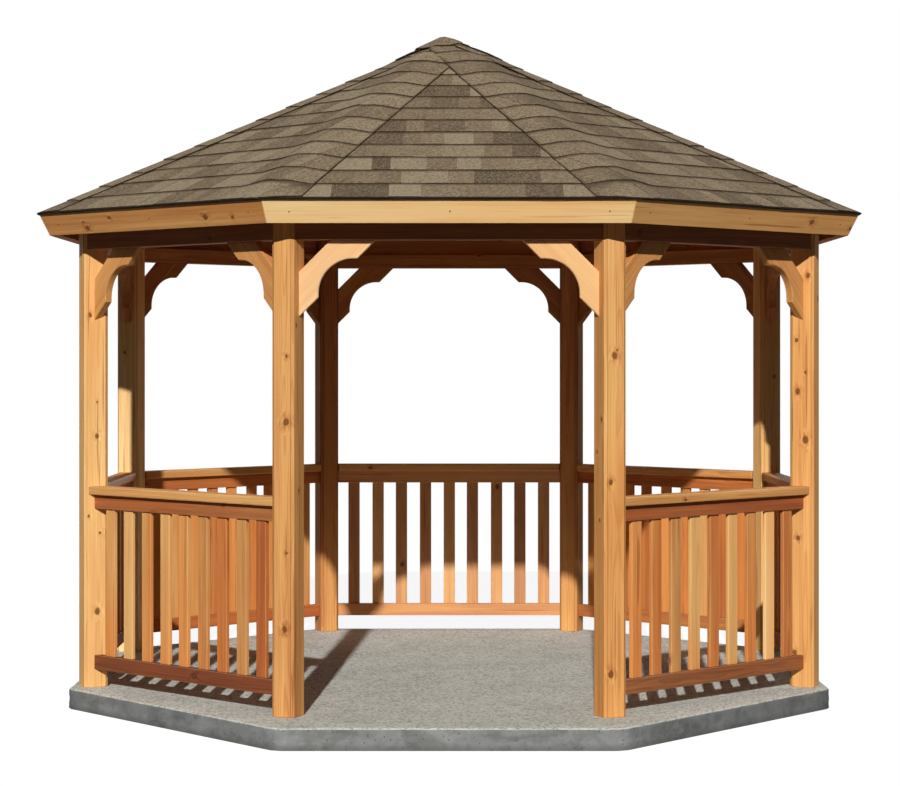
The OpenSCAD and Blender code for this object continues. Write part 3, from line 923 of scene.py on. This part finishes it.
# A point of a slope in space. Past the hip it bends round the hip line by an arc and lies on the next slope:
# across the hip x = d, then -b + R sin(a), with a from 0 to the fold angle and R = b / tan(fold / 2).
def onRoof(i, s, t, h, extra, slide):
    offSlope, upSlope = slopeWays(i)
    side = np.where(s < 0, -1.0, 1.0)
    d = pastHip(s, t)
    b = roofLook["bend"]
    radius = b / math.tan(foldAngle / 2)
    turn = foldAngle * np.clip((d + b) / (2 * b), 0, 1)
    x = np.where(d < -b, d, np.where(d > b, d * math.cos(foldAngle), -b + radius * np.sin(turn)))
    y = np.where(d < -b, 0.0, np.where(d > b, -d * math.sin(foldAngle), -radius * (1 - np.cos(turn))))
    lift = roofLook["lift"] * ease01(slopeLong - t, *roofLook["liftOver"])
    h = h + (lift + extra) * ease01(d, -b, roofLook["wrap"])
    foot = t - d * math.sin(hipLean) + slide
    footS = side * (slopeLong - foot) * math.tan(hipLean)
    across = side[..., None] * math.cos(hipLean) * bayAlong[i] + math.sin(hipLean) * upSlope
    base = bayOut[i] * (eave + plan["drip"] * cosPitch) + up * (eaveZ - plan["drip"] * sinPitch)
    point = base + footS[..., None] * bayAlong[i] + foot[..., None] * upSlope
    normal = np.sin(turn)[..., None] * across + np.cos(turn)[..., None] * offSlope
    return point + x[..., None] * across + y[..., None] * offSlope + h[..., None] * normal


# Faces of a closed slab on a grid of rows and columns, the upper side first
def slabFaces(rows, columns):
    wide = columns + 1
    layer = (rows + 1) * wide
    r, c = np.meshgrid(np.arange(rows), np.arange(columns), indexing="ij")
    a = (r * wide + c).ravel()
    top = np.stack([a, a + 1, a + wide + 1, a + wide], -1)
    n = np.arange(columns)
    far = rows * wide + n
    m = np.arange(rows) * wide
    end = m + columns
    sides = [np.stack([n, n + layer, n + 1 + layer, n + 1], -1),
             np.stack([far, far + 1, far + 1 + layer, far + layer], -1),
             np.stack([m, m + wide, m + wide + layer, m + layer], -1),
             np.stack([end, end + layer, end + wide + layer, end + wide], -1)]
    return np.concatenate([top, top[:, ::-1] + layer] + sides), len(top)


tabFaces, tabTops = slabFaces(len(roofLook["rowPlaces"]), roofLook["columns"])


# One course of tabs: upper side h = rest + step * (1 - (t - butt) / exposure), so each butt stands proud
def course(i, number):
    look = roofLook
    exposure = look["exposure"]
    butt = number * exposure - look["overhang"]
    top = min(butt + exposure + look["lap"], slopeLong - look["top"])
    minus, plus = i in look["wrapsMinus"], i in look["wrapsPlus"]

    # Cuts between the tabs, then the grid of rows and columns on each tab
    cuts = []
    place = look["margin"] - courseEnd(top, minus) + draw.uniform(0, look["tabWidth"][1])
    while place < courseEnd(top, plus) - look["margin"]:
        cuts.append(place)
        place += draw.uniform(*look["tabWidth"])
    cuts = np.array(cuts)[:, None, None]
    count = len(cuts) + 1
    rowPlaces = np.array(look["rowPlaces"])
    rowPlaces = np.append(rowPlaces * min(exposure / (top - butt), look["lastRow"] / rowPlaces[-1]), 1.0)
    places = np.tile(np.linspace(0, 1, look["columns"] + 1), (count, 1, 1))
    # rim marks the narrow column at a wrap's cut end, where painted shade stands for the shadow under the cut
    rim = np.zeros((count, len(rowPlaces), look["columns"] + 1))
    if minus:
        places[0, 0, 1] = look["edgeColumn"]
        rim[0, :, 0] = 1.0
    if plus:
        places[-1, 0, -2] = 1 - look["edgeColumn"]
        rim[-1, :, -1] = 1.0
    b = np.broadcast_to(rowPlaces[:, None], rim.shape[1:])
    loose = look["eaveLoose"] if number == 0 else look["loose"]
    lowest = butt + draw.uniform(-loose, loose, (count, 1, 1))
    t = lowest + b * (top - lowest)
    halfEave, halfJoint, slant = slopeLong * math.tan(hipLean), look["joint"] / 2, 2 * hipLean
    for settle in range(3):  # a tab that wraps a hip ends at the next slope's eave, found in three rounds
        first, last = -courseEnd(t, minus), courseEnd(t, plus)
        left = np.concatenate([first[:1], np.broadcast_to(cuts + halfJoint, first[1:].shape)])
        right = np.concatenate([np.broadcast_to(cuts - halfJoint, last[:-1].shape), last[-1:]])
        s = left + places * (right - left)
        nextEave = (np.abs(s[:, :1]) - halfEave) * math.tan(slant) - look["overhang"] / math.cos(slant)
        floor = np.maximum(lowest, nextEave)
        t = floor + b * (top - floor)

    # Heights: some tabs raised, and the hips swollen and slid down the next slope
    raised = np.where(draw.uniform(size=(count, 1, 1)) < look["raisedShare"], look["raised"], 0.0)
    h = look["rest"] + look["step"] * (1 - (t - butt) / exposure) + raised
    toApex = slopeLong - t
    d = pastHip(s, t)
    extra, swell = np.zeros_like(t), np.zeros_like(t)
    if i in look["extraBays"]:
        extra = look["extra"] * ease01(toApex, *look["extraFrom"]) * ease01(toApex, *look["extraTo"])
    sweep = look["sweep"]
    soft = np.where(np.abs(d) < sweep, (d + sweep) ** 2 / (4 * sweep), np.maximum(d, 0))
    share = (b if number == 0 else 1.0) * np.where(s < 0, minus, plus)
    slide = 2 * math.sin(hipLean) * (np.maximum(d, 0) - (1 - look["level"]) * soft) * share
    if i in look["swellBays"]:
        swell = ease01(d, *look["swellFrom"]) * ease01(toApex, *look["swellOver"]) * share
    slide = slide + look["swellSlide"] * swell
    swell = look["swell"] * swell * ease01(d, look["wrap"], 0.0)
    upper = onRoof(i, s, t, h + swell, extra, slide)
    lower = onRoof(i, s, t, look["under"] + swell, extra, slide)
    verts = np.concatenate([upper.reshape(count, -1, 3), lower.reshape(count, -1, 3)], 1)
    each = verts.shape[1]
    faces = (tabFaces[None] + each * np.arange(count)[:, None, None]).reshape(-1, 4)

    # Tones: dark, plain and pale tabs, calmer past the hip; a printed dark band under the next butt, and
    # painted shade along the wraps' cut ends
    pick = draw.uniform(size=(count, 1, 1))
    tone = draw.uniform(-look["spread"], look["spread"], (count, 1, 1))
    paler = np.where(pick > look["paleAbove"], tone + look["paler"], tone)
    tone = np.where(pick < look["darkBelow"], tone - look["darker"], paler)
    tone = look["tones"][i] + look["contrast"][i] * tone * (1 - look["calm"] * ease01(d, *look["calmOver"]))
    band = np.maximum(ease01((t - butt) / exposure, *look["bandOver"]), rim)
    band = np.concatenate([band.reshape(count, -1), np.zeros((count, each // 2))], 1)
    cutEdge = np.ones(len(tabFaces))
    cutEdge[:tabTops] = 0.0
    return {"verts": verts.reshape(-1, 3), "faces": faces.tolist(), "band": band.ravel(),
            "tone": np.tile(tone.reshape(count, -1), 2).ravel(), "cutEdge": np.tile(cutEdge, count)}


# A last course is laid where at least a fifth of it fits
courses = (slopeLong - roofLook["top"] + roofLook["overhang"]) / roofLook["exposure"]
courses = int(courses + 1 - roofLook["leastCourse"])
for i, bay in enumerate(bays):
    tabs = [course(i, number) for number in range(courses)]
    putTogether("shingles_" + bay, tabs, roofing, ["roof_" + bay], roofLook["smooth"])
print("shingle courses:", courses, "on each slope")

# Apex cap: one sheet with its rim at reach + lean * cos(angle), its height the soft minimum of two surfaces,
# the roof plus a lift and a tilted flat top
apexLook = {"reach": 0.112, "lean": 0.056, "leanTo": 200.0, "thick": 0.004, "rim": 0.0235, "peak": 0.034,
            "rings": 10, "spokes": 48, "eye": 0.06, "flat": 0.0104, "tilt": 0.295, "soft": 0.0012,
            "tuck": 0.0055, "tone": 0.6}
rings, spokes = apexLook["rings"], apexLook["spokes"]
turn = np.linspace(0, 2 * math.pi, spokes, endpoint=False)
share, spoke = np.meshgrid(np.linspace(1, apexLook["eye"], rings), turn, indexing="ij")
leaning = np.cos(spoke - math.radians(apexLook["leanTo"]))
reach = share * (apexLook["reach"] + apexLook["lean"] * leaning)
x, y = reach * np.cos(spoke), reach * np.sin(spoke)
rim = apexLook["rim"] + apexLook["tuck"] * leaning
sloping = roofUnder(x, y) + (apexLook["peak"] + (rim - apexLook["peak"]) * share) / cosPitch
flat = boardsApex + apexLook["flat"] - apexLook["tilt"] * x
z = -apexLook["soft"] * np.logaddexp(-sloping / apexLook["soft"], -flat / apexLook["soft"])
upper = np.stack([x, y, z], -1)
verts = np.concatenate([upper[::-1], upper - apexLook["thick"] * up]).reshape(-1, 3)
faces = ringSkin(2 * rings, spokes, True)
cutEdge = np.zeros(len(faces))
cutEdge[(rings - 1) * spokes:rings * spokes] = 1.0
cap = {"verts": verts, "faces": faces, "tone": np.full(len(verts), apexLook["tone"]),
       "band": np.zeros(len(verts)), "cutEdge": cutEdge}
putTogether("apex_cap_shingle", [cap], roofing, ["apex_cap"], roofLook["smooth"])
print("apex cap made")

# Eave strip: a thin upright profile carried round the eight eaves and closed on itself; near black, partly as
# painted shade under the shingles' edge
stripLook = {"low": 0.001, "high": 0.0105, "out": -0.003, "back": -0.006}
profile = [(stripLook["back"], stripLook["low"]), (stripLook["out"], stripLook["low"]),
           (stripLook["out"], stripLook["high"]), (stripLook["back"], stripLook["high"])]
stripR, stripZ = np.array([onSlope(-beyond, h) for beyond, h in profile]).T
stripR = stripR[:, None] / math.cos(halfTurn)
verts = (stripR * np.stack(cornerOut)[:, None] + stripZ[:, None] * up).reshape(-1, 3)
faces = [[n % len(verts) for n in face] for face in ringSkin(9, len(profile), True)[:-2]]
putTogether("eave_strip_and_shade", [{"verts": verts, "faces": faces}], stripAndShadeFinish)
print("eave strip and shade made")

# Concrete pad: its outline, with cut corners, carried up an eased edge profile and then in to the middle
padLook = {"spacing": 0.045, "levels": [0, 0.02, 0.045, 0.065], "ease": 0.010, "easeSteps": 4, "rings": 16,
           "rough": 0.0022, "sideWaves": 9.0, "fineWaves": 26.0, "fineShare": 0.6, "topRough": 0.0008,
           "topWaves": 3.0, "smooth": 35}
padFront, padSide, padBack = (postLine + plan[key] for key in ("padFront", "padSide", "padBack"))
postAside = plan["postRing"] * math.sin(halfTurn)
rightHalf = np.array([[postAside + plan["padFrontBeyond"], -padFront],
                      [padSide, -postAside - plan["padSideBeyond"]],
                      [padSide, padBack * math.sqrt(2) - padSide],
                      [padBack * tanHalf, padBack]])
sharp = np.concatenate([rightHalf, rightHalf[::-1] * (-1, 1)])
before, following = np.roll(sharp, 1, 0) - sharp, np.roll(sharp, -1, 0) - sharp
before /= np.linalg.norm(before, axis=1)[:, None]
following /= np.linalg.norm(following, axis=1)[:, None]
cutOff = np.stack([sharp + plan["padCut"] * before, sharp + plan["padCut"] * following], 1).reshape(-1, 2)
edge = []
for a, b in zip(cutOff, np.roll(cutOff, -1, 0)):
    steps = max(2, int(np.linalg.norm(b - a) / padLook["spacing"]))
    edge.append(a + np.linspace(0, 1, steps, endpoint=False)[:, None] * (b - a))
edge = np.concatenate(edge)
quarter = np.radians(np.linspace(0, 90, padLook["easeSteps"]))
setIn = np.concatenate([np.zeros(len(padLook["levels"])), padLook["ease"] * (1 - np.cos(quarter))])
level = np.concatenate([padLook["levels"], floorZ - padLook["ease"] * (1 - np.sin(quarter))])
edgeReach = np.linalg.norm(edge, axis=1)
shrink = 1 - setIn[:, None] / edgeReach
inward = np.linspace(1, 0, padLook["rings"] + 1)[1:-1]
shrink = np.concatenate([shrink, inward[:, None] * shrink[-1:]])
level = np.concatenate([level, np.full(len(inward), floorZ)])
level = np.broadcast_to(level[:, None, None], shrink.shape + (1,))
rings = np.concatenate([shrink[..., None] * edge, level], -1)
sides = len(setIn)
uneven = ripple(rings, padLook["sideWaves"], 3)
uneven = uneven + padLook["fineShare"] * ripple(rings, padLook["fineWaves"], 4)
rings[1:sides, :, :2] *= (1 + padLook["rough"] * (uneven[1:sides] - 1) / edgeReach)[..., None]
rings[sides:, :, 2] += padLook["topRough"] * (ripple(rings[sides:], padLook["topWaves"], 5) - 1)
pad = {"verts": rings.reshape(-1, 3), "faces": ringSkin(len(rings), len(edge))}
putTogether("concrete_slab", [pad], padFinish, ["concrete_pad"], padLook["smooth"])
print("pad made")

# Stage: pale floor, white behind, one key light and a weak soft back light.
# A lamp is its turn from the camera's side, its rise above the ground, its power and its angle.
stageLook = {"floorSize": 80.0, "floorTone": (0.16, 0.16, 0.16, 1.0), "floorGlow": 0.92, "fill": 0.028,
             "fillTint": (0.92, 0.98, 1.22, 1.0), "white": (1.0, 1.0, 1.0, 1.0),
             "key": (-3.2, 26.3, 3.60, 0.9), "back": (165.0, 2.5, 0.8, 12.0)}


# 1 where the camera, a mirror or glass looks, and 0 for plain light
def seen(shader):
    path = shader.node("LightPath", out="Is Camera Ray")
    mirrored = path.math("MAXIMUM", path.also("Is Glossy Ray"), path.also("Is Transmission Ray"))
    return path.math("MAXIMUM", path, mirrored)


half = stageLook["floorSize"] / 2
floorMesh = bpy.data.meshes.new("studio_floor")
floorCorners = [(-half, -half, 0), (half, -half, 0), (half, half, 0), (-half, half, 0)]
floorMesh.from_pydata(floorCorners, [], [(0, 1, 2, 3)])
studioFloor = newObject("studio_floor", floorMesh)
floorShader = Shader("studio floor")
matte = floorShader.node("BsdfDiffuse", {}, {"Color": stageLook["floorTone"]})
strength = stageLook["floorGlow"] * seen(floorShader)
glow = floorShader.node("Emission", {}, {"Color": stageLook["white"], "Strength": strength})
both = floorShader.node("AddShader", {}, {0: matte, 1: glow})
floorShader.node("OutputMaterial", {}, {"Surface": both})
floorMesh.materials.append(floorShader.owner)

scene.world = bpy.data.worlds.new("studio")
sky = Shader("studio", scene.world)
brightness = stageLook["fill"] + (1.0 - stageLook["fill"]) * seen(sky)
tint = sky.mix(seen(sky), stageLook["fillTint"], stageLook["white"])
background = sky.node("Background", {}, {"Color": tint, "Strength": brightness})
sky.node("OutputWorld", {}, {"Surface": background})

for name in ("key", "back"):
    turn, rise, power, angle = stageLook[name]
    lamp = bpy.data.lights.new(name, "SUN")
    lamp.energy = power
    lamp.angle = math.radians(angle)
    a, e = math.radians(turn), math.radians(rise)
    toLamp = Vector((math.sin(a) * math.cos(e), -math.cos(a) * math.cos(e), math.sin(e)))
    holder = newObject(name, lamp)
    holder.rotation_mode = "QUATERNION"
    holder.rotation_quaternion = toLamp.to_track_quat("Z", "Y")

# Camera: level, at eye height in front of the entrance
cameraLook = {"place": (0.0, -11.92, 1.583), "lens": 98.95, "sensor": 36.0, "shift": (0.0011, -0.0397),
              "farthest": 200.0}
cameraData = bpy.data.cameras.new("photo_camera")
cameraData.sensor_width = cameraLook["sensor"]
cameraData.lens = cameraLook["lens"]
cameraData.shift_x, cameraData.shift_y = cameraLook["shift"]
cameraData.clip_end = cameraLook["farthest"]
camera = newObject("photo_camera", cameraData)
camera.location = cameraLook["place"]
camera.rotation_euler = (math.radians(90), 0.0, 0.0)
scene.camera = camera
scene.view_settings.view_transform = "Standard"
print("stage, lamps and camera made")
